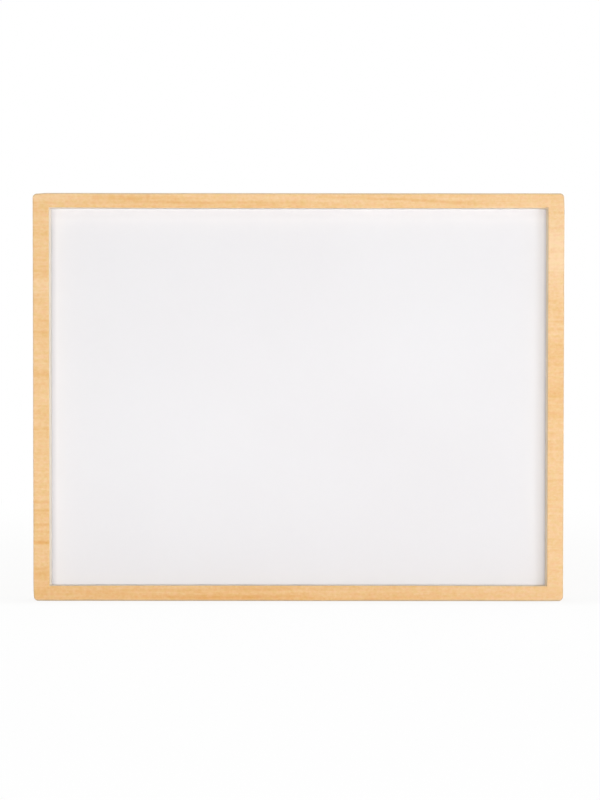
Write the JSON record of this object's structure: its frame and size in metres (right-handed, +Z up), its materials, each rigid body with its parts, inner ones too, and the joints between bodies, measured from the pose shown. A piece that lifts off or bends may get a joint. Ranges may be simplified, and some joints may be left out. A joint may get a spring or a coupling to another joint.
{
  "type": "magnetic board",
  "caption": "Wall-hung magnetic board: a white coated steel sheet recessed in a plywood frame with rounded outer corners and a square window, on a plywood back.",
  "frame": {"origin": "the middle of the back face, where the board meets the wall", "axes": "+X along the board's width, to the right seen from the front; +Y from the board into the wall; +Z up the board's height"},
  "size_m": [0.41, 0.0113, 0.315],
  "materials": {
    "plywood": "sanded, bare to satin",
    "white_coated_steel": "smooth semi-gloss white coating",
    "plywood_back": "sanded, bare"
  },
  "bodies": {
    "root": {"frame": "plywood", "magnetic_sheet": "white_coated_steel", "back_board": "plywood_back"}
  },
  "joints": []
}
